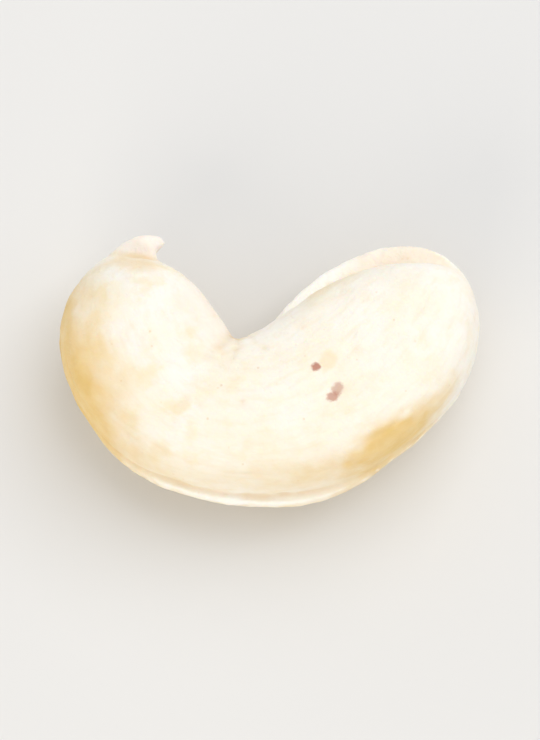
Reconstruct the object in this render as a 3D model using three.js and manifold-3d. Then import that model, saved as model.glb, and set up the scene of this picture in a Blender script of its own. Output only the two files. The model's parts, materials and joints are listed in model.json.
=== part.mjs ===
// A roasted cashew kernel, lying on one of its two halves.
//
// Millimetres, +Z up. Seen from above, the kernel bends round a notch that opens towards +Y, and its
// round back faces -Y. The left arm ends in the small beak of the germ, and the right arm is broad and
// blunt. The seam between the two halves runs nearly level along the back and the belly. The origin is
// on the surface that the kernel lies on, under the middle of its outline.

import * as THREE from "three";
import { mergeVertices } from "three/addons/utils/BufferGeometryUtils.js";
import Module from "manifold-3d";

const wasm = await Module();
wasm.setup();

// Cross-sections from the beak round to the blunt tip. back and belly are where the seam meets the
// outline, and over and under are how far the upper and the lower half stand off the seam.
const SECTIONS = [
  { back: [-6.45, 8.25], belly: [-6.45, 8.25], over: 0.0, under: 0.0 },
  { back: [-6.9, 8.68], belly: [-6.62, 7.9], over: 0.65, under: 0.55 },
  { back: [-8.4, 8.6], belly: [-6.95, 7.45], over: 1.25, under: 1.2 },
  { back: [-10.2, 7.35], belly: [-6.5, 6.95], over: 1.2, under: 1.9 },
  { back: [-11.4, 6.1], belly: [-5.4, 6.2], over: 2.95, under: 2.7 },
  { back: [-12.6, 4.0], belly: [-4.4, 5.2], over: 4.05, under: 3.9 },
  { back: [-12.9, 1.4], belly: [-3.6, 4.1], over: 4.5, under: 4.7 },
  { back: [-11.9, -1.9], belly: [-2.9, 3.1], over: 4.65, under: 4.95 },
  { back: [-9.3, -5.3], belly: [-2.35, 2.35], over: 4.7, under: 4.75 },
  { back: [-5.3, -7.7], belly: [-1.8, 2.0], over: 4.7, under: 4.8 },
  { back: [-0.4, -8.5], belly: [-1.1, 2.3], over: 4.75, under: 4.95 },
  { back: [4.5, -7.5], belly: [-0.2, 2.95], over: 4.9, under: 4.75 },
  { back: [8.2, -5.2], belly: [0.9, 4.1], over: 5.05, under: 4.8 },
  { back: [10.7, -2.8], belly: [2.2, 5.6], over: 5.1, under: 4.95 },
  { back: [12.3, -0.2], belly: [4.4, 7.1], over: 4.95, under: 4.8 },
  { back: [12.95, 2.2], belly: [7.1, 8.1], over: 4.4, under: 4.3 },
  { back: [12.9, 3.9], belly: [9.2, 8.2], over: 3.1, under: 3.15 },
  { back: [12.5, 5.4], belly: [10.75, 7.6], over: 1.1, under: 1.7 },
  { back: [11.85, 6.65], belly: [11.85, 6.65], over: 0.0, under: 0.0 },
];
const BLUNT_TIP = SECTIONS.length - 1;
const RINGS_PER_SECTION = 5;
const ARC_STEPS = 7;

// How square each part of a section is: 2 is an ellipse, and more is squarer. The upper half falls more
// steeply to the back in one place.
const OVER_BACK_SQUARENESS = 2.25;
const OVER_BELLY_SQUARENESS = 2.5;
const UNDER_SQUARENESS = 2.05;
const STEEP_BACK = { at: 12.2, spread: 1.8, extra: 0.75 };

// Where the upper half stops short of the lower one and leaves its lip bare. at and spread are counted
// in sections along the kernel.
const BACK_LEDGE = { at: 9.9, spread: 1.5, width: 0.75 };
const BELLY_LEDGE = { at: 16.2, spread: 3.4, width: 2.3 };

// Where a section is narrower than this, at the tips, its ledges are narrower in proportion.
const FULL_LEDGE_SECTION = 4.5;

// The seam from the lower half's side up to the upper half's side. in is the distance inside the
// outline and up the height above the seam, and each millimetre of ledge adds inByLedge and, as far as
// HIGHEST_AT_LEDGE, upByLedge.
const SEAM_POINTS = [
  { in: 0.0, inByLedge: 0.0, up: -0.8, upByLedge: 0.0 },
  { in: 0.05, inByLedge: 0.0, up: -0.35, upByLedge: 0.22 },
  { in: 0.16, inByLedge: 0.24, up: -0.12, upByLedge: 0.32 },
  { in: 0.28, inByLedge: 0.66, up: 0.0, upByLedge: -0.12 },
  { in: 0.08, inByLedge: 0.94, up: 0.33, upByLedge: 0.0 },
  { in: 0.0, inByLedge: 1.0, up: 0.78, upByLedge: 0.0 },
];
const HIGHEST_AT_LEDGE = 1.0;
const SIDE_STARTS = 0.8;

// Where a half is lower than this, at the tips, its seam is drawn smaller in proportion.
const FULL_SEAM_HEIGHT = 3.2;

// The seam wanders up and down over these lengths, and along the back it gets shallower by this share
// once in every so many sections.
const SEAM_WANDER = { height: 0.3, lengthX: 17.5, startX: 1.4, lengthY: 20.0, startY: 3.7 };
const SEAM_FADE = { share: 0.5, every: 4.8 };

// Low waves that make the surface uneven. They fade out towards the underside over SWELL_FADE.
const SWELLS = [
  { height: 0.06, towards: [0.9, 0.3, 0.2], length: 10.5, start: 1.2 },
  { height: 0.05, towards: [-0.4, 0.8, 0.4], length: 8.0, start: 3.1 },
  { height: 0.03, towards: [0.5, -0.5, 0.7], length: 5.5, start: 0.4 },
];
const SWELL_FADE = 4.0;

// The pinch across the upper half where the kernel bends.
const PINCH = { at: 8.5, spread: 0.5, depth: 0.3 };

// The kernel rests on its three deepest places, which are flat by this much.
const REST_FLAT = 0.08;
const SEAM_HEIGHT = Math.max(...SECTIONS.map((section) => section.under)) - REST_FLAT;

const COLOR = 0xf3e2bd;
const ROUGHNESS = 0.55;

// The closed outline, out along the back and home along the belly. One curve through both tips keeps
// the tips round.
const outline = new THREE.CatmullRomCurve3(
  [
    ...SECTIONS.map((section) => section.back),
    ...SECTIONS.slice(1, -1).reverse().map((section) => section.belly),
  ].map(([x, y]) => new THREE.Vector3(x, y, 0)),
  true,
  "centripetal",
);

// A height given at each section, as a smooth function along the kernel. Its way home is negative, so
// that it runs straight through zero at both tips.
function alongKernel(heights) {
  const home = heights.slice(1, -1).reverse().map((height) => -height);
  const points = [...heights, ...home].map((height) => new THREE.Vector3(height, 0, 0));
  const curve = new THREE.CatmullRomCurve3(points, true, "catmullrom", 0.5);
  return (along) => curve.getPoint(along / (2 * BLUNT_TIP)).x;
}

const heightOver = alongKernel(SECTIONS.map((section) => section.over));
const heightUnder = alongKernel(SECTIONS.map((section) => section.under));

function bump(along, { at, spread }) {
  return Math.exp(-(((along - at) / spread) ** 2));
}

function wave(distance, length) {
  return Math.sin((2 * Math.PI * distance) / length);
}

// How far the seam lies above its usual level at a place in the outline.
function seamRise(x, y) {
  const { height, lengthX, startX, lengthY, startY } = SEAM_WANDER;
  return height * wave(x + startX, lengthX) * wave(y + startY, lengthY);
}

// One side of the seam, in a list that runs upwards. away is the distance from the outline.
function seamSide(ledge, scale, depth) {
  const rise = Math.min(ledge, HIGHEST_AT_LEDGE);
  return SEAM_POINTS.map((point) => ({
    away: scale * point.in * depth + point.inByLedge * ledge,
    up: scale * point.up + point.upByLedge * rise,
  }));
}

// A quarter of a rounded section, from beside the seam to the crest.
function quarter(halfWidth, height, squareness) {
  const start = SIDE_STARTS * Math.min(1, height / FULL_SEAM_HEIGHT);
  const startAngle = Math.asin((start / height) ** (squareness / 2));
  const points = [];
  for (let step = 1; step <= ARC_STEPS; step += 1) {
    const angle = THREE.MathUtils.lerp(startAngle, Math.PI / 2, step / ARC_STEPS);
    points.push({
      out: halfWidth * Math.cos(angle) ** (2 / squareness),
      up: height * Math.sin(angle) ** (2 / squareness),
    });
  }
  return points;
}

// How far the surface swells outwards at a point.
function swelling(point) {
  let height = 0;
  for (const swell of SWELLS) {
    const distance = point.dot(new THREE.Vector3(...swell.towards));
    height += swell.height * wave(distance + swell.start, swell.length);
  }
  return height * THREE.MathUtils.clamp(point.z / SWELL_FADE, 0, 1);
}

// One closed ring of points round the kernel, as up the back, over, down the belly and under.
function ring(along) {
  const back = outline.getPoint(along / (2 * BLUNT_TIP));
  const belly = outline.getPoint(1 - along / (2 * BLUNT_TIP));
  const across = new THREE.Vector3().subVectors(belly, back).normalize();
  const width = back.distanceTo(belly);
  const over = heightOver(along);
  const under = heightUnder(along);
  const narrowing = Math.min(1, width / FULL_LEDGE_SECTION);
  const backLedge = narrowing * BACK_LEDGE.width * bump(along, BACK_LEDGE);
  const bellyLedge = narrowing * BELLY_LEDGE.width * bump(along, BELLY_LEDGE);

  const upperHalfWidth = (width - backLedge - bellyLedge) / 2;
  const upperMiddle = backLedge + upperHalfWidth;
  const lowerMiddle = width / 2;

  const fading = (SEAM_FADE.share * (1 + wave(along, SEAM_FADE.every))) / 2;
  const scale = Math.min(1, over / FULL_SEAM_HEIGHT, under / FULL_SEAM_HEIGHT);
  const backSeam = seamSide(backLedge, scale, 1 - fading);
  const bellySeam = seamSide(bellyLedge, scale, 1).reverse();
  const backSquareness = OVER_BACK_SQUARENESS + STEEP_BACK.extra * bump(along, STEEP_BACK);
  const backOver = quarter(upperHalfWidth, over, backSquareness);
  const bellyOver = quarter(upperHalfWidth, over, OVER_BELLY_SQUARENESS).reverse().slice(1);
  const bellyUnder = quarter(lowerMiddle, under, UNDER_SQUARENESS);
  const backUnder = quarter(lowerMiddle, under, UNDER_SQUARENESS).reverse().slice(1);

  const section = [
    ...backSeam.map(({ away, up }) => [away, up]),
    ...backOver.map(({ out, up }) => [upperMiddle - out, up]),
    ...bellyOver.map(({ out, up }) => [upperMiddle + out, up]),
    ...bellySeam.map(({ away, up }) => [width - away, up]),
    ...bellyUnder.map(({ out, up }) => [lowerMiddle + out, -up]),
    ...backUnder.map(({ out, up }) => [lowerMiddle - out, -up]),
  ];

  const pinch = PINCH.depth * bump(along, PINCH);
  return section.map(([place, up]) => {
    const point = back.clone().addScaledVector(across, place);
    const share = up / (up > 0 ? over : under);
    point.z = SEAM_HEIGHT + up + seamRise(point.x, point.y) * (1 - share ** 2);
    if (up > 0) point.z -= pinch * (place / width) * share;
    const outwards = across.clone().multiplyScalar((place - lowerMiddle) / lowerMiddle);
    outwards.z = share;
    return point.addScaledVector(outwards, swelling(point));
  });
}

// The whole skin: a point at each tip, and rings between them.
function kernelGeometry() {
  const rings = [];
  for (let index = 1; index < BLUNT_TIP * RINGS_PER_SECTION; index += 1) {
    rings.push(ring(index / RINGS_PER_SECTION));
  }
  const around = rings[0].length;
  const [beakTip, bluntTip] = [0, 0.5].map((share) => outline.getPoint(share));
  beakTip.z = SEAM_HEIGHT + seamRise(beakTip.x, beakTip.y);
  bluntTip.z = SEAM_HEIGHT + seamRise(bluntTip.x, bluntTip.y);
  const points = [beakTip, ...rings.flat(), bluntTip];

  const triangles = [];
  const at = (row, step) => 1 + row * around + (step % around);
  for (let step = 0; step < around; step += 1) {
    triangles.push(0, at(0, step), at(0, step + 1));
    for (let row = 0; row < rings.length - 1; row += 1) {
      triangles.push(at(row, step), at(row + 1, step), at(row + 1, step + 1));
      triangles.push(at(row, step), at(row + 1, step + 1), at(row, step + 1));
    }
    triangles.push(at(rings.length - 1, step), points.length - 1, at(rings.length - 1, step + 1));
  }

  const geometry = new THREE.BufferGeometry().setFromPoints(points);
  geometry.setIndex(triangles);
  return geometry;
}

function toSolid(geometry) {
  const bare = geometry.clone();
  bare.deleteAttribute("normal");
  bare.deleteAttribute("uv");
  const merged = mergeVertices(bare);
  const mesh = new wasm.Mesh({
    numProp: 3,
    vertProperties: merged.attributes.position.array,
    triVerts: new Uint32Array(merged.index.array),
  });
  return new wasm.Manifold(mesh);
}

function toGeometry(solid) {
  const mesh = solid.getMesh();
  const geometry = new THREE.BufferGeometry();
  geometry.setAttribute("position", new THREE.BufferAttribute(mesh.vertProperties, 3));
  geometry.setIndex(new THREE.BufferAttribute(mesh.triVerts, 1));
  return geometry;
}

// The kernel with its underside flattened where it rests, moved so that the origin is under its middle.
function restedKernel() {
  const slabSize = 60;
  const slabDepth = 10;
  const slab = new THREE.BoxGeometry(slabSize, slabSize, slabDepth);
  slab.translate(0, 0, -slabDepth / 2);
  const geometry = toGeometry(toSolid(kernelGeometry()).subtract(toSolid(slab)));
  geometry.computeBoundingBox();
  const middle = geometry.boundingBox.getCenter(new THREE.Vector3());
  geometry.translate(-middle.x, -middle.y, 0);
  geometry.computeVertexNormals();
  return geometry;
}

const kernel = new THREE.Mesh(
  restedKernel(),
  new THREE.MeshStandardMaterial({ color: COLOR, roughness: ROUGHNESS, metalness: 0 }),
);
kernel.name = "kernel";

const cashew = new THREE.Group();
cashew.add(kernel);

export default cashew;
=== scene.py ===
# %% [markdown]
# # A roasted cashew kernel
#
# A cashew kernel is a seed. Two fat curved halves of oily flesh are pressed together along a seam, and
# the germ's small beak shows between them at one end. Roasting leaves it cream to golden and slightly
# see-through, like wax. The imported solid already has the outline, the thickness and the seam. This
# lesson gives it a skin that looks grown: uneven, creased where it bends, golden on the flanks, partly
# from the roast and partly as painted shade, with painted highlights on the lips.

# %% Load the solid as a fixed frame
import json
import math

import bpy
import numpy as np
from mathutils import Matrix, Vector, noise

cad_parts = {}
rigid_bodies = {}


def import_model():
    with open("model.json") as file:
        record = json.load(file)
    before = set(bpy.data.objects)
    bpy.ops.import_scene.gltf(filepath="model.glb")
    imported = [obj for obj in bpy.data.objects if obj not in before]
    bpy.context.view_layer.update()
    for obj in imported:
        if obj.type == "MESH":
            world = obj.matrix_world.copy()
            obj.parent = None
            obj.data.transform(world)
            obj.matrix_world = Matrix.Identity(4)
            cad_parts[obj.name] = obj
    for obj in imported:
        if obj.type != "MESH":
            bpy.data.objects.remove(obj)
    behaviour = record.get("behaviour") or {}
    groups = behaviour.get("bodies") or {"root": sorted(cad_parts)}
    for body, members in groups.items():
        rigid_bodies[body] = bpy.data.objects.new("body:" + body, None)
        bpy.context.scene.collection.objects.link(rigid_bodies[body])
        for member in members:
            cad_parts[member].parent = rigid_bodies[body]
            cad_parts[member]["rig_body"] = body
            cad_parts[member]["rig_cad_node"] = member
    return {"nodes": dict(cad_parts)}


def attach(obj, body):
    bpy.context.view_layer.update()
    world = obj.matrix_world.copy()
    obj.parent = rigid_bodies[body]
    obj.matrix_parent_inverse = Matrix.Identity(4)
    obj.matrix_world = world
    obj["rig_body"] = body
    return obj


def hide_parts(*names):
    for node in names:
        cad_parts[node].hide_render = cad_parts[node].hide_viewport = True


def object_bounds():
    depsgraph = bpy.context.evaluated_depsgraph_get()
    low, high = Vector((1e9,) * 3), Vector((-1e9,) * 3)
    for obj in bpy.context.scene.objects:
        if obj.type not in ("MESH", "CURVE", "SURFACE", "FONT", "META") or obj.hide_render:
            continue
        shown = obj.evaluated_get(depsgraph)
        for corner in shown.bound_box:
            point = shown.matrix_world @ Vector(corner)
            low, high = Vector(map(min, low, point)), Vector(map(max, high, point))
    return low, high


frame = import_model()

MM = 0.001  # Blender works in metres, and this lesson thinks in millimetres
cad_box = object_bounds()
print("solid, mm:", [round(side / MM, 2) for side in cad_box[1] - cad_box[0]])

# %% [markdown]
# ## The camera
#
# The kernel is seen from above and a little from its round back, 76 degrees above the table. A long lens
# from a third of a metre keeps the two arms in proportion, as a still-life photographer would do. Blender's
# camera looks down its own -Z, so a turn of 14 degrees about X tilts it towards the notch.

# %% Camera
ELEVATION = math.radians(76)
CAMERA_DISTANCE = 350 * MM
PICTURE_HEIGHT = 45.7 * MM

middle = (cad_box[0] + cad_box[1]) / 2
towards_camera = Vector((0, -math.cos(ELEVATION), math.sin(ELEVATION)))
bpy.ops.object.select_all(action="DESELECT")
bpy.ops.object.camera_add(
    location=middle + towards_camera * CAMERA_DISTANCE,
    rotation=(math.pi / 2 - ELEVATION, 0, 0),
)
camera = bpy.context.object
camera.name = "camera"
camera.data.lens = camera.data.sensor_width * CAMERA_DISTANCE / PICTURE_HEIGHT
camera.data.clip_start = 5 * MM
bpy.context.scene.camera = camera
print("camera at, mm:", [round(part / MM, 1) for part in camera.location])

# %% [markdown]
# ## The table and the light
#
# A pale matt table and a bright even sky give the high, airy look of food on white. One large soft lamp
# hangs above and behind the notch, so the broad face is close to white and the flanks turn golden. A warm
# card low in front lights the round back, as a wooden board near it would. Two white cards, one on the
# right and one behind the notch, keep the blunt arm's edge and the bare lip bright. The Standard view lets
# the brightest flesh run out to white, as it does in a bright kitchen picture.

# %% Table
TABLE_SIDE = 2.0  # metres, so that its edge is out of sight
TABLE_TONE = 0.76

bpy.ops.mesh.primitive_plane_add(size=TABLE_SIDE, location=(0, 0, 0))
table = bpy.context.object
table.name = "table"
table_paint = bpy.data.materials.new("matt_white_table")
table_paint.use_nodes = True
table_shader = table_paint.node_tree.nodes["Principled BSDF"]
table_shader.inputs["Base Color"].default_value = (TABLE_TONE, TABLE_TONE, TABLE_TONE, 1)
table_shader.inputs["Roughness"].default_value = 0.9
table_shader.inputs["Specular IOR Level"].default_value = 0.2
table.data.materials.append(table_paint)

# %% Lamps and sky
DAYLIGHT = (1.0, 0.995, 0.985)
CREAM_LIGHT = (1.0, 0.99, 0.96)
WARM_LIGHT = (1.0, 0.92, 0.78)
SKY_STRENGTH = 0.62


def soft_lamp(name, direction, distance, width, power, color):
    """A square lamp that shines on the kernel from a direction. Lengths in metres, power in watts."""
    place = Vector(direction).normalized() * distance
    bpy.ops.object.light_add(type="AREA", location=place)
    lamp = bpy.context.object
    lamp.name = name
    lamp.rotation_euler = place.to_track_quat("Z", "Y").to_euler()
    lamp.data.size = width
    lamp.data.energy = power
    lamp.data.color = color


soft_lamp("window_lamp", (0.32, 0.38, 0.87), 0.4, 0.36, 0.76, DAYLIGHT)
soft_lamp("warm_card", (-0.4, -0.85, 0.4), 0.3, 0.2, 0.35, WARM_LIGHT)
soft_lamp("white_card", (0.9, 0.15, 0.3), 0.3, 0.2, 0.11, DAYLIGHT)
soft_lamp("notch_card", (-0.55, 0.8, 0.2), 0.3, 0.2, 0.09, CREAM_LIGHT)

sky = bpy.data.worlds.new("bright_sky")
sky.use_nodes = True
sky.node_tree.nodes["Background"].inputs["Color"].default_value = (*DAYLIGHT, 1)
sky.node_tree.nodes["Background"].inputs["Strength"].default_value = SKY_STRENGTH
bpy.context.scene.world = sky
bpy.context.scene.view_settings.view_transform = "Standard"

# %% [markdown]
# ## A skin over the solid
#
# The solid is a mesh of flat triangles, right in shape and too plain to look grown. It is left alone, and
# a copy of it is worked on. The copy's loose triangles are merged, joined into quads and rounded with
# Subdivision Surface. Remesh then lays an even net of small quads over it, with no poles at the tips, and
# a little smoothing melts the net's own pattern. Every fine form that follows needs that even net.

# %% Copy and merge
SAME_POINT = 0.002 * MM


def pick_only(piece):
    """Selects one piece and nothing else, as a click on it would."""
    bpy.ops.object.select_all(action="DESELECT")
    piece.select_set(True)
    bpy.context.view_layer.objects.active = piece


pick_only(frame["nodes"]["kernel"])
bpy.ops.object.duplicate()
skin = bpy.context.object
skin.name = "cashew_kernel"
skin.data.name = "cashew_kernel"
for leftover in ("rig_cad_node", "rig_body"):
    if leftover in skin:
        del skin[leftover]
skin.parent = None
skin.data.materials.clear()

bpy.ops.object.mode_set(mode="EDIT")
bpy.ops.mesh.select_all(action="SELECT")
bpy.ops.mesh.remove_doubles(threshold=SAME_POINT)
bpy.ops.mesh.tris_convert_to_quads(face_threshold=math.radians(50), shape_threshold=math.radians(60))
bpy.ops.object.mode_set(mode="OBJECT")
print("merged copy:", len(skin.data.vertices), "points,", len(skin.data.polygons), "faces")

# %% Round it, and lay an even net over it
def finish_with(piece, kind, **settings):
    """Adds a modifier, sets it and applies it."""
    modifier = piece.modifiers.new(kind.title(), kind)
    for name, value in settings.items():
        setattr(modifier, name, value)
    pick_only(piece)
    bpy.ops.object.modifier_apply(modifier=modifier.name)


NET_SIZE = 0.125 * MM

finish_with(skin, "SUBSURF", levels=2, render_levels=2)
finish_with(skin, "REMESH", mode="VOXEL", voxel_size=NET_SIZE, use_smooth_shade=True)
finish_with(skin, "SMOOTH", factor=0.5, iterations=4)
print("net:", len(skin.data.vertices), "points,", len(skin.data.polygons), "quads")

# %% [markdown]
# ## Swells and dents
#
# A grown thing is never evenly round. Two Displace modifiers with cloud textures push the skin in and out,
# first over a few millimetres and then over one, by less than a tenth of a millimetre. The eye reads such
# swells in the way the light slides over the broad face, long before it sees any single one.

# %% Displace by clouds
def swell(piece, name, size, height):
    """Pushes the skin in and out by clouds of one size."""
    texture = bpy.data.textures.new(name, "CLOUDS")
    texture.noise_scale = size
    texture.noise_depth = 1
    finish_with(piece, "DISPLACE", texture=texture, strength=height, mid_level=0.5, texture_coords="LOCAL")


swell(skin, "broad_swells", 3.6 * MM, 0.26 * MM)
swell(skin, "small_swells", 1.3 * MM, 0.09 * MM)
print("after swells, mm:", [round(side / MM, 2) for side in skin.dimensions])

# %% [markdown]
# ## Where each point is on the kernel
#
# Wrinkles and colour follow the bend of the kernel, so each point needs a place along it and a distance
# from its middle line, as if the kernel were pulled straight. The middle line is a few points from beak to
# blunt end. Each skin point takes a soft average of the line near it, which keeps the notch free of a
# sudden jump. The result is kept on the mesh as an attribute, so that the material can read it too.

# %% Pull the kernel straight
MIDDLE_LINE = [
    (-6.9, 8.4), (-8.3, 6.6), (-8.4, 3.7), (-7.4, 0.6), (-5.3, -1.9), (-2.2, -3.1),
    (1.2, -2.7), (4.6, -0.5), (7.4, 2.4), (9.6, 5.4), (10.3, 7.8),
]
LINE_STEPS = 160
LINE_ROUNDINGS = 120
LINE_BLEND = 3.0  # how softly a skin point changes from one place of the line to the next, in mm squared
POINTS_AT_ONCE = 8000  # keeps the table of distances small
SEAM_LEVEL = 4.87  # height of the seam over the table, in mm


def smooth_line(corners, steps):
    """A polyline as many evenly spaced points with its corners rounded off."""
    corners = np.array(corners, float)
    lengths = np.concatenate([[0], np.cumsum(np.linalg.norm(np.diff(corners, axis=0), axis=1))])
    along = np.linspace(0, lengths[-1], steps)
    line = np.stack([np.interp(along, lengths, corners[:, axis]) for axis in (0, 1)], axis=1)
    for _ in range(LINE_ROUNDINGS):
        line[1:-1] = (line[:-2] + 2 * line[1:-1] + line[2:]) / 4
    return line


def read_points(piece, what="co"):
    """The places or normals of all points of a mesh, as an array."""
    numbers = np.zeros(len(piece.data.vertices) * 3)
    source = piece.data.vertices if what == "co" else piece.data.vertex_normals
    source.foreach_get("co" if what == "co" else "vector", numbers)
    return numbers.reshape(-1, 3)


def pull_straight(points):
    """Distance along the kernel, distance out to its back, and height over the seam, in mm."""
    line = smooth_line(MIDDLE_LINE, LINE_STEPS)
    ahead = np.gradient(line, axis=0)
    along = np.concatenate([[0], np.cumsum(np.linalg.norm(np.diff(line, axis=0), axis=1))])
    heading = ahead / np.linalg.norm(ahead, axis=1)[:, None]
    to_back = np.stack([heading[:, 1], -heading[:, 0]], axis=1)
    straight = np.zeros((len(points), 3))
    for start in range(0, len(points), POINTS_AT_ONCE):
        rows = slice(start, start + POINTS_AT_ONCE)
        part = points[rows, :2]
        away = part[:, None, :] - line[None]
        far = (away ** 2).sum(2)
        weight = np.exp(-(far - far.min(1)[:, None]) / LINE_BLEND)
        weight /= weight.sum(1)[:, None]
        straight[rows, 0] = weight @ along
        straight[rows, 1] = (weight * (away * to_back[None]).sum(2)).sum(1)
    straight[:, 2] = points[:, 2] - SEAM_LEVEL
    return straight


points = read_points(skin) / MM
straight = pull_straight(points)
print("length along the middle, mm:", round(float(np.ptp(straight[:, 0])), 1),
      " out to the back, mm:", straight[:, 1].min().round(1), "to", straight[:, 1].max().round(1))

# %% [markdown]
# ## Wrinkles, creases and pits
#
# The flesh dries as it roasts and shrinks into faint wrinkles that run along the kernel. Where it bends, the
# inner side is squeezed, and short creases run out of the notch. Sculpt brushes need a window, so the same
# strokes are made in code: each one says how far every point moves along its own normal.

# %% Wrinkles along the kernel
def field(places, seed):
    """Smooth noise, from about -1 to 1, at each place."""
    shift = np.array([13.7, 5.1, 9.3]) * seed
    return np.fromiter((noise.noise(place) for place in places + shift), float, len(places))


def between(low, high, values):
    """0 below low, 1 above high and a soft step between them."""
    share = np.clip((values - low) / (high - low), 0, 1)
    return share * share * (3 - 2 * share)


WRINKLE_DEPTH = 0.055  # mm
FINE_WRINKLE_DEPTH = 0.028

faces_up = read_points(skin, "normal")[:, 2]
flank = 1 - between(0.35, 0.9, np.abs(faces_up))
wandering = straight + 0.5 * np.stack([field(points * 0.35, seed) for seed in (1, 2, 3)], axis=1)
wrinkle = np.exp(-(field(wandering * [0.11, 0.62, 0.62], 4) / 0.085) ** 2)
fine_wrinkle = np.exp(-(field(wandering * [0.22, 1.5, 1.5], 5) / 0.12) ** 2)
fading = between(-0.25, 0.35, field(points * 0.28, 6))
relief = -WRINKLE_DEPTH * wrinkle * fading * (0.45 + 0.55 * flank)
relief -= FINE_WRINKLE_DEPTH * fine_wrinkle * (1 - 0.5 * fading)
print("wrinkles, deepest mm:", relief.min().round(3))

# %% Creases out of the notch
CREASES = [  # a line on the upper half, its depth and its width, in mm
    ([(-2.2, 2.0), (-2.9, 1.0), (-3.6, 0.2), (-4.5, -0.5), (-5.4, -1.0)], 0.12, 0.30),
    ([(-1.9, 1.8), (-2.0, 0.7), (-2.4, -0.4), (-3.1, -1.3)], 0.085, 0.22),
    ([(-1.5, 1.9), (-1.0, 0.9), (-0.2, 0.2), (0.9, -0.2)], 0.065, 0.20),
    ([(-3.2, 3.0), (-4.0, 2.4), (-4.7, 2.1)], 0.065, 0.18),
    ([(0.9, 3.2), (1.5, 2.3), (2.4, 1.8)], 0.045, 0.20),
]
UPPER_HALF = SEAM_LEVEL - 0.5  # a stroke marks nothing below this height


def stroke(line, width, fading=0.7):
    """1 on a line drawn over the upper half, fading out beside it and towards its far end."""
    line = np.array(line, float)
    near = np.full(len(points), 1e9)
    share_at = np.zeros(len(points))
    for number, (start, end) in enumerate(zip(line[:-1], line[1:])):
        side = end - start
        share = np.clip(((points[:, :2] - start) @ side) / (side @ side), 0, 1)
        far = np.linalg.norm(points[:, :2] - start - share[:, None] * side, axis=1)
        closer = far < near
        near[closer] = far[closer]
        share_at[closer] = (number + share[closer]) / (len(line) - 1)
    return np.exp(-(near / width) ** 2) * (1 - share_at) ** fading * (points[:, 2] > UPPER_HALF)


uneven_depth = 1 + 0.35 * field(points * 1.4, 7)
for line, depth, width in CREASES:
    relief -= depth * stroke(line, width) * uneven_depth
print("creases:", len(CREASES))

# %% [markdown]
# ## The groove behind the beak
#
# The beak is the tip of the germ, and it stands out of the arm like a collar's point. A shallow groove
# parts the two. A straight line would look cut, so noise bends it a little.

# %% Groove behind the beak
GROOVE_WIDTH = 0.17
GROOVE_DEPTH = 0.07
BEAKED_ARM = -4  # the beaked arm lies left of this x


def past_beak_line(places):
    """How far a place lies beyond the line that parts the beak from the arm, in mm."""
    return places[:, 1] - (7.3 - 0.11 * (places[:, 0] + 10.2))


bending = 0.18 * field(points * 1.1, 8)
behind_beak = np.exp(-((past_beak_line(points) + 0.05 + bending) / GROOVE_WIDTH) ** 2)
behind_beak *= points[:, 0] < BEAKED_ARM
relief -= GROOVE_DEPTH * behind_beak * between(-1.2, -0.4, straight[:, 2])
print("points in the groove:", int((behind_beak > 0.5).sum()))

# %% [markdown]
# ## Pits, nicks and specks
#
# Skin that was rubbed off has left pits all over and nicks along the seam, and at two places a scrap of
# red-brown skin is still there, in a dent of its own. The dents are scattered by seeded chance, so that the
# kernel comes out the same each time.

# %% Pits, and nicks along the seam
rng = np.random.default_rng(11)


def dimple(center, radius, depth, stretch=(1, 1, 1)):
    """A round-bottomed dent with a barely raised rim."""
    far = np.linalg.norm((points - center) / stretch, axis=1) / radius
    return -depth * (np.exp(-far ** 2 * 1.6) - 0.25 * np.exp(-((far - 1.35) / 0.35) ** 2))


PITS = 150
for place in rng.choice(len(points), PITS, replace=False):
    relief += dimple(points[place], rng.uniform(0.14, 0.42), rng.uniform(0.012, 0.045))

NICKS = 16
along_seam = np.flatnonzero((np.abs(straight[:, 2]) < 0.5) & (np.abs(faces_up) < 0.6))
for place in rng.choice(along_seam, NICKS, replace=False):
    relief += dimple(points[place], rng.uniform(0.2, 0.5), rng.uniform(0.04, 0.12), (1.4, 1.4, 0.7))
print("pits:", PITS, " nicks:", NICKS)

# %% The two specks, the longer one made of two ovals
SPECKS = [  # middle on the upper face, half length and width, turn, and how brown each oval is
    {"at": (2.8, -1.0, 9.8), "half": (0.29, 0.26), "turn": 0, "share": 0.8},
    {"at": (4.12, -2.35, 9.8), "half": (0.41, 0.33), "turn": 55, "share": 0.5},
    {"at": (3.8, -2.85, 9.75), "half": (0.4, 0.32), "turn": 30, "share": 0.66},
]
SPECK_DEPTH = 0.05

for speck in SPECKS:
    relief += dimple(np.array(speck["at"]), speck["half"][0] * 1.3, SPECK_DEPTH)
print("speck dents:", len(SPECKS))

# %% Move the points
normals = read_points(skin, "normal")
resting = 1 - between(0.05, 0.5, points[:, 2])  # the small flats that it lies on stay flat
points += normals * (relief * (1 - resting))[:, None]
points[:, 2] = np.maximum(points[:, 2], 0)
print("relief, mm:", relief.min().round(3), "to", relief.max().round(3))

# %% [markdown]
# ## The ledge runs out
#
# One half stands a little proud of the other, which leaves a bare ledge along the belly. Over the blunt arm
# the ledge melts into the flesh. By hand this is the Smooth brush. Here each point near that stretch moves
# to the average of its neighbours, taken again and again.

# %% Melt the ledge's far end
LEDGE_END = [(7.6, 6.6), (9.6, 6.7), (11.5, 6.2), (12.2, 5.3)]
SMOOTHINGS = 90


def average_round(piece, values, rounds):
    """Blurs one value per point over its neighbours, again and again."""
    ends = np.zeros(len(piece.data.edges) * 2, int)
    piece.data.edges.foreach_get("vertices", ends)
    one, other = ends.reshape(-1, 2).T
    size = len(values)
    count = np.bincount(one, minlength=size) + np.bincount(other, minlength=size)
    for _ in range(rounds):
        total = np.bincount(one, values[other], size) + np.bincount(other, values[one], size)
        values = (values + total / count) / 2
    return values


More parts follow.
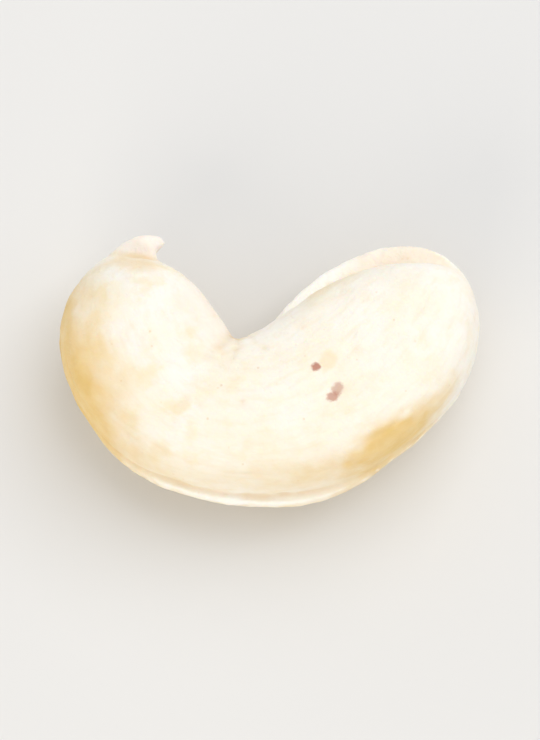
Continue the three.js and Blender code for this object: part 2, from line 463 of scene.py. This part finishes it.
running_out = stroke(LEDGE_END, 1.2, 0.0) * between(6.8, 9.2, points[:, 0])
softened = np.stack([average_round(skin, points[:, axis], SMOOTHINGS) for axis in range(3)], axis=1)
melting = (softened - points) * running_out[:, None]
points += melting
print("ledge melted by, at most mm:", np.linalg.norm(melting, axis=1).max().round(3))

# %% Give the points back to the mesh
skin.data.vertices.foreach_set("co", (points * MM).ravel())
skin.data.update()
pick_only(skin)
bpy.ops.object.shade_smooth()
print("skin, mm:", [round(side / MM, 2) for side in skin.dimensions])

# %% [markdown]
# ## Masks for the colour
#
# Colour follows the form: gold on the flanks and tan in the hollows, partly the roast's colour and partly
# painted shade, and white on the ridges as a painted highlight.
# A point that lies below the average of the skin round it is in a hollow, and one above it is on a ridge.
# The masks are stored on the mesh as numbers from 0 to 1, and the material reads them by name.

# %% Hollows and ridges
def keep(name, values):
    """Stores one number from 0 to 1 for each point of the skin."""
    values = np.clip(values, 0, 1)
    attribute = skin.data.attributes.new(name, "FLOAT", "POINT")
    attribute.data.foreach_set("value", values.astype(np.float32))
    print(f"{name}: mean {values.mean():.3f}, most {values.max():.2f}")


normals = read_points(skin, "normal")
blurred = np.stack([average_round(skin, points[:, axis], 24) for axis in range(3)], axis=1)
sunk = ((blurred - points) * normals).sum(1)
print("sunk, mm:", np.percentile(sunk, [0, 1, 50, 99, 100]).round(3))
straight = pull_straight(points)
along, to_back, over_seam = straight.T
near_seam = np.exp(-(over_seam / 0.75) ** 2)
hollow = between(0.0, 0.09, sunk)
hollow = np.maximum(0.75 * hollow, 1.5 * average_round(skin, hollow, 12))

# %% Painted highlight on the lips along the seam
BARE_LIP = [(1.2, 4.2), (2.5, 5.3), (4.7, 6.8), (6.2, 7.5), (7.2, 7.8)]
ARM_END = [(6.0, 7.0), (7.8, 7.3), (9.9, 7.2), (11.3, 6.8)]

# White on the lips is a painted highlight, where these ridges catch the light.
bare_lip_highlight = stroke(BARE_LIP, 0.7, 0.25) * (1 - between(0.45, 0.8, over_seam))
# Beige on the blunt arm's steep end is painted shade.
arm_end_shade = stroke(ARM_END, 1.0, 0.3)
keep("arm_end_shade", arm_end_shade)
# Tan in the hollows is painted shade, partly the deeper tone of the flesh there.
shown_hollow = hollow * (1 - 0.35 * between(0.0, 3.0, to_back))
keep("hollow", shown_hollow * (1 - 0.5 * bare_lip_highlight) * (1 - 0.6 * arm_end_shade))
# The back lip's white is a painted highlight on the ridge.
back_lip_highlight = between(0.02, 0.07, -sunk) * near_seam * (over_seam < 0.75)
back_lip_highlight *= between(10.5, 13.0, along) * (to_back > 0)
keep("lip", back_lip_highlight + 1.5 * bare_lip_highlight)

# %% [markdown]
# ## Gold, partly roast and partly painted shade
#
# Gold gathers on the flanks, round the outer side of the beaked arm and on the bevel of the blunt one, and
# it fades out towards the top. It is partly the roast's own colour and partly painted shade where these
# sides turn from the light, and the gold under the seam is painted shade. Painted masks would have hard
# edges.
# These are drawn with places that noise has pushed about, so their edges wander as real ones do.

# %% Loose places, for ragged edges
def around(center, spread, values):
    """1 at a place along the kernel, fading out over a distance on both sides of it."""
    return np.exp(-((values - center) / spread) ** 2)


def loosened(places, seed, reach):
    """Places pushed about by noise, so that a mask drawn with them gets a ragged edge."""
    slow = np.stack([field(points * 0.4, seed + axis) for axis in range(3)], axis=1)
    quick = np.stack([field(points * 1.4, seed + 3 + axis) for axis in range(3)], axis=1)
    return places + reach * (slow + 0.45 * quick)


loose_along, loose_out, loose_up = loosened(straight, 21, 1.1).T
on_back = between(-0.5, 2.0, to_back)  # 1 on the round back's side of the middle line
upper_glow = between(-4.5, 1.4, loose_up)  # 1 on top, and fading out below the seam
less_low_down = 0.62 + 0.38 * between(-0.5, 3.0, loose_up)
level = average_round(skin, np.abs(normals[:, 2]), 20)  # 1 where the skin lies flat
steep = 1 - between(0.1, 0.85, level)
print("steep share of the skin:", steep.mean().round(2))

# %% Gold on the flanks, the bevel and the arm, partly painted shade
GROOVE_SHADE_LINE = [(1.4, 3.3), (2.4, 4.0), (3.6, 4.6), (5.0, 5.2), (6.6, 5.8)]
ROUND_CORNER = [(-11.4, -1.8), (-9.7, -4.2), (-8.7, -5.1)]

# Gold on the steep flanks is partly the roast's colour and partly painted shade.
waist_flank = around(8.5, 4.5, loose_along) * on_back
# Painted shade on the blunt arm's bevel, which turns from the light.
blunt_bevel_shade = (1 - between(0.5, 0.96, level)) * on_back * upper_glow
blunt_bevel_shade *= 0.35 * between(14.5, 19.0, loose_along) + 0.65 * between(18.0, 20.6, loose_along)
blunt_bevel_shade *= 1 - between(21.5, 26.0, loose_along)
arm_band = (0.8 * between(0.4, 2.2, loose_out) + 0.6 * between(2.6, 4.4, loose_out)) * upper_glow
arm_band *= between(1.8, 4.6, along) * (1 - between(6.0, 11.0, along))
# Gold on the round back's side is partly painted shade.
broad_gold_and_shade = between(1.0, 4.6, loose_out) * (0.3 + 0.7 * around(9.0, 4.0, along))
broad_gold_and_shade *= (1 - between(17, 22, along)) * upper_glow
# Painted shade on the rim near the seam.
left_rim_shade = between(3.5, 5.5, along) * (1 - between(10.5, 13.0, along))
left_rim_shade *= on_back * around(-0.2, 1.2, over_seam)
# Painted shade in the groove below the bare lip.
groove_shade = stroke(GROOVE_SHADE_LINE, 0.6, 0.5) * between(0.9, 3.0, points[:, 0])
# Painted shade round the lower corner of the beaked arm.
round_corner_shade = stroke(ROUND_CORNER, 0.9, 0.3)
# The sum is partly the roast's colour and partly painted shade.
toast_and_painted_shade = steep * (0.18 + 0.3 * waist_flank) + 1.1 * blunt_bevel_shade + 0.4 * arm_band + 0.35 * broad_gold_and_shade
toast_and_painted_shade += 0.4 * groove_shade + 0.5 * left_rim_shade + 0.24 * round_corner_shade
# More gold under the seam is painted shade on the side turned down.
keep("golden", toast_and_painted_shade * less_low_down + 0.52 * between(-0.3, 3.0, -loose_up))
keep("inner_wall", between(2.0, 3.4, -loose_out) * (1 - between(9.5, 12.5, along)) * upper_glow)

# %% [markdown]
# ## The beak and the foot behind it
#
# The beak stays almost white, for it is germ and not flesh, and the flesh at its foot is scorched a little.
# Both masks start from the line of the groove, so that colour and shape agree.

# %% The beak and the scorched patch behind it
past_beak = past_beak_line(loosened(points, 31, 0.22))
at_beak_end = points[:, 0] < BEAKED_ARM
keep("beak", between(-0.1, 0.4, past_beak) * at_beak_end * between(-1.9, -0.5, loose_up))
scorch = between(-1.9, -0.9, past_beak) * (1 - between(-0.05, 0.3, past_beak)) * at_beak_end
scorch *= between(-10.8, -8.7, loosened(points, 41, 0.6)[:, 0]) * (1 - between(-7.6, -6.2, points[:, 0]))
keep("scorch", scorch * between(-0.4, 1.8, loose_up))

# %% The straight places go to the material too
straight_places = skin.data.attributes.new("straight", "FLOAT_VECTOR", "POINT")
straight_places.data.foreach_set("vector", straight.astype(np.float32).ravel())
print("kept on the mesh:", [name for name in skin.data.attributes.keys() if not name.startswith(".")])

# %% [markdown]
# ## The flesh
#
# Cashew flesh is cream, with yellower and whiter clouds in it, and light goes a little way in. The colour is
# built in thin layers, each one a mask and a tint, as a painter would glaze it. A few small helpers stand
# for the nodes that a hand would drag into the editor again and again.

# %% A new material
flesh = bpy.data.materials.new("roasted_cashew_flesh")
flesh.use_nodes = True
tree = flesh.node_tree
shader = tree.nodes["Principled BSDF"]
print("material:", flesh.name)

# %% Helpers for tints and masks
def tint(text):
    """A colour written as on paper, such as f3e2bd, in the linear light that Blender mixes in."""
    shares = [int(text[start:start + 2], 16) / 255 for start in (0, 2, 4)]
    linear = [share / 12.92 if share <= 0.04045 else ((share + 0.055) / 1.055) ** 2.4 for share in shares]
    return (*linear, 1)


def wire(value, socket):
    """Sets a socket to a number or colour, or links another node's output to it."""
    if isinstance(value, bpy.types.NodeSocket):
        tree.links.new(value, socket)
    else:
        socket.default_value = value


def measure(how, first, second, third=None):
    """One step of arithmetic on a mask."""
    node = tree.nodes.new("ShaderNodeMath")
    node.operation = how
    wire(first, node.inputs[0])
    wire(second, node.inputs[1])
    if third is not None:
        wire(third, node.inputs[2])
    return node.outputs[0]


def mask(name):
    """A mask that is stored on the mesh."""
    node = tree.nodes.new("ShaderNodeAttribute")
    node.attribute_name = name
    return node.outputs["Fac"]


# %% Helpers for noise and layers
def clouds(where, size, detail=3.0, stretch=(1, 1, 1), seed=0.0):
    """Noise whose patches are about size millimetres wide."""
    mapping = tree.nodes.new("ShaderNodeMapping")
    wire(where, mapping.inputs["Vector"])
    mapping.inputs["Location"].default_value = (seed, seed * 0.7, seed * 1.3)
    mapping.inputs["Scale"].default_value = stretch
    node = tree.nodes.new("ShaderNodeTexNoise")
    wire(mapping.outputs[0], node.inputs["Vector"])
    node.inputs["Scale"].default_value = 1 / size
    node.inputs["Detail"].default_value = detail
    return node.outputs["Fac"]


def step(value, low, high, bottom=0.0, top=1.0):
    """A soft step in a mask from low to high."""
    node = tree.nodes.new("ShaderNodeMapRange")
    node.interpolation_type = "SMOOTHSTEP"
    wire(value, node.inputs["Value"])
    node.inputs["From Min"].default_value = low
    node.inputs["From Max"].default_value = high
    node.inputs["To Min"].default_value = bottom
    node.inputs["To Max"].default_value = top
    return node.outputs["Result"]


MIX_UNDER, MIX_OVER, MIX_RESULT = 6, 7, 2  # the Mix node's colour sockets, which share names with others


def glaze(under, over, share):
    """Lays one colour over another where a mask says."""
    node = tree.nodes.new("ShaderNodeMix")
    node.data_type = "RGBA"
    wire(share, node.inputs["Factor"])
    wire(under, node.inputs[MIX_UNDER])
    wire(over, node.inputs[MIX_OVER])
    return node.outputs[MIX_RESULT]


# %% Places that the material reads
coordinates = tree.nodes.new("ShaderNodeTexCoord")
to_mm = tree.nodes.new("ShaderNodeMapping")
to_mm.inputs["Scale"].default_value = (1 / MM, 1 / MM, 1 / MM)
tree.links.new(coordinates.outputs["Object"], to_mm.inputs["Vector"])
in_mm = to_mm.outputs[0]
bent = tree.nodes.new("ShaderNodeAttribute")
bent.attribute_name = "straight"
along_grain = bent.outputs["Vector"]
split = tree.nodes.new("ShaderNodeSeparateXYZ")
tree.links.new(along_grain, split.inputs[0])
millimetres_along = split.outputs["X"]
print("nodes so far:", len(tree.nodes))

# %% [markdown]
# ## Cream, streaks and freckles
#
# Up close the cream is a mix: ivory and butter in clouds of a few millimetres, chalky wisps along the
# grain, fine darker streaks where it has shrunk, and here and there a freckle. Each layer is faint. They
# are laid one over the other, so none of them is seen alone.

# %% Cream clouds
IVORY = tint("f8f4ec")
CREAM = tint("f6f0e1")
BUTTER = tint("f3e2bc")
CHALK = tint("faf5ec")

color = glaze(IVORY, CREAM, step(clouds(in_mm, 4.5, 4.0), 0.35, 0.65))
buttery = step(clouds(in_mm, 1.5, 7.0, seed=7.0), 0.45, 0.75)
less_at_blunt_end = step(millimetres_along, 8.0, 22.0, 0.6, 0.3)
color = glaze(color, BUTTER, measure("MULTIPLY", buttery, less_at_blunt_end))
color = glaze(color, CHALK, step(clouds(along_grain, 1.3, 5.0, (0.4, 1, 1), 3.0), 0.52, 0.78, 0.0, 0.35))

# %% Fine streaks and freckles
STREAK = tint("ecd2a2")
FRECKLE = tint("d9ae74")

streaky = step(clouds(along_grain, 0.45, 6.0, (0.35, 1, 1), 15.0), 0.46, 0.74, 0.0, 0.16)
color = glaze(color, STREAK, streaky)

freckles = tree.nodes.new("ShaderNodeTexVoronoi")
wire(in_mm, freckles.inputs["Vector"])
freckles.inputs["Scale"].default_value = 1.3
dots = step(freckles.outputs["Distance"], 0.05, 0.15, 0.35, 0.0)
here_and_there = step(clouds(in_mm, 1.1, 3.0, seed=31.0), 0.5, 0.62)
color = glaze(color, FRECKLE, measure("MULTIPLY", dots, here_and_there))

# %% [markdown]
# ## Gold, lips and beak
#
# The masks from the mesh take over here. Noise is added to the gold's mask before it is cut, which breaks
# its edge into patches, as oil and heat do. The gold and the tan are partly painted shade, and the white on
# the lips is a painted highlight. The lips, the notch's wall and the beak come last, so that they stay
# clean.

# %% Golden flanks and tan hollows, partly painted shade
GOLDEN = tint("e3bd69")
HONEY = tint("edcf8e")
TAN_SHADE = tint("e0bf8a")

patchy = clouds(in_mm, 2.2, 7.0, seed=12.0)
toast_and_shade_share = measure("MULTIPLY_ADD", patchy, 0.65, mask("golden"))
goldens = glaze(GOLDEN, HONEY, step(clouds(in_mm, 1.8, 6.0, seed=17.0), 0.2, 0.8))
# The gold is partly the roast's colour and partly painted shade.
color = glaze(color, goldens, step(toast_and_shade_share, 0.34, 1.42, 0.0, 0.94))
# The tan in hollows is painted shade, partly the flesh's deeper tone there.
color = glaze(color, TAN_SHADE, measure("MULTIPLY", mask("hollow"), 0.7))

# %% Painted highlight on the lips, pale inner wall, painted shade on the arm end
LIP_HIGHLIGHT = tint("fffcf5")
WALL_PALE = tint("fbeee4")
ARM_END_SHADE = tint("f3e1ca")

flecks = step(clouds(in_mm, 0.7, 4.0, seed=5.0), 0.3, 0.6, 0.6, 1.0)
# White on the lips is a painted highlight.
color = glaze(color, LIP_HIGHLIGHT, measure("MULTIPLY", mask("lip"), flecks))
color = glaze(color, WALL_PALE, measure("MULTIPLY", mask("inner_wall"), 0.5))
# Beige on the blunt arm's end is painted shade.
color = glaze(color, ARM_END_SHADE, measure("MULTIPLY", mask("arm_end_shade"), 0.5))

# %% Scorched foot and white beak
SCORCHED = tint("e8cb98")
BEAK_WHITE = tint("fbf0e8")

color = glaze(color, SCORCHED, measure("MULTIPLY", mask("scorch"), 0.5))
color = glaze(color, BEAK_WHITE, measure("MULTIPLY", mask("beak"), 0.85))
print("layers of colour so far:", sum(node.bl_idname == "ShaderNodeMix" for node in tree.nodes))

# %% [markdown]
# ## Stains and specks
#
# A few stains are soft and yellow, and the two scraps of skin are crisp and red-brown. Each is an oval at
# its own place, and noise eats into its edge. The specks use the same places as their dents.

# %% Stains and specks
def spot(at, half, turn, ragged):
    """1 inside a ragged oval on the upper face."""
    mapping = tree.nodes.new("ShaderNodeMapping")
    mapping.vector_type = "TEXTURE"
    wire(in_mm, mapping.inputs["Vector"])
    mapping.inputs["Location"].default_value = at
    mapping.inputs["Rotation"].default_value = (0, 0, math.radians(turn))
    mapping.inputs["Scale"].default_value = (*half, 1.0)
    length = tree.nodes.new("ShaderNodeVectorMath")
    length.operation = "LENGTH"
    wire(mapping.outputs[0], length.inputs[0])
    edge = measure("MULTIPLY_ADD", ragged, 1.1, measure("SUBTRACT", length.outputs["Value"], 0.55))
    return step(edge, 0.6, 1.3, 1.0, 0.0)


crisp_edge = clouds(in_mm, 0.28, 3.0, seed=2.0)
soft_edge = clouds(in_mm, 0.8, 4.0, seed=9.0)
RED_BROWN = tint("b4664e")
STAIN = tint("ecd3a0")
STAINS = [  # middle, half length and width, turn, and how strong each soft stain is
    ((3.5, -0.7, 9.8), (0.7, 0.5), 60, 0.4), ((-5.4, -3.3, 9.5), (0.8, 0.45), 35, 0.4),
    ((-11.0, 3.6, 7.5), (0.7, 0.9), 0, 0.4), ((-9.9, -0.6, 8.6), (0.5, 1.0), 15, 0.35),
    ((-6.7, -5.8, 8.5), (0.9, 0.5), 150, 0.35),
]
for at, half, turn, share in STAINS:
    color = glaze(color, STAIN, measure("MULTIPLY", spot(at, half, turn, soft_edge), share))
for speck in SPECKS:
    brown = measure("MULTIPLY", spot(speck["at"], speck["half"], speck["turn"], crisp_edge), speck["share"])
    color = glaze(color, RED_BROWN, brown)
tree.links.new(color, shader.inputs["Base Color"])

# %% [markdown]
# ## Sheen and grain
#
# The surface is satin: oil has come to it in the heat, and a fine meal clings to it. Roughness changes in
# patches. Two bumps add what is too small for the mesh: grain of about a fifth of a millimetre and pores.

# %% Sheen and depth
SHEEN = 0.42
LIGHT_GOES_IN = 0.25  # share of the light
LIGHT_REACH = 0.7 * MM
REACH_BY_COLOR = (1.0, 0.62, 0.3)  # red goes deepest

satin = step(clouds(in_mm, 2.2, 5.0, seed=20.0), 0.3, 0.7, 0.44, 0.6)
tree.links.new(measure("MULTIPLY_ADD", mask("hollow"), 0.12, satin), shader.inputs["Roughness"])
shader.inputs["Specular IOR Level"].default_value = SHEEN
shader.inputs["Subsurface Weight"].default_value = LIGHT_GOES_IN
shader.inputs["Subsurface Radius"].default_value = REACH_BY_COLOR
shader.inputs["Subsurface Scale"].default_value = LIGHT_REACH
print("light reaches, mm:", LIGHT_REACH / MM)

# %% Grain and pores
GRAIN_DEPTH = 0.09 * MM

pores = tree.nodes.new("ShaderNodeTexVoronoi")
wire(in_mm, pores.inputs["Vector"])
pores.inputs["Scale"].default_value = 2.2
grain_height = measure(
    "MULTIPLY_ADD", step(pores.outputs["Distance"], 0.0, 0.28), 0.35, clouds(in_mm, 0.2, 4.0, seed=1.0)
)
grain = tree.nodes.new("ShaderNodeBump")
grain.inputs["Strength"].default_value = 0.5
grain.inputs["Distance"].default_value = GRAIN_DEPTH
wire(grain_height, grain.inputs["Height"])
tree.links.new(grain.outputs["Normal"], shader.inputs["Normal"])
skin.data.materials.append(flesh)
print("nodes in the flesh:", len(tree.nodes))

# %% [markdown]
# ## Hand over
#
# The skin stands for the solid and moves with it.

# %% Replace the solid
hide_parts("kernel")
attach(skin, "root")
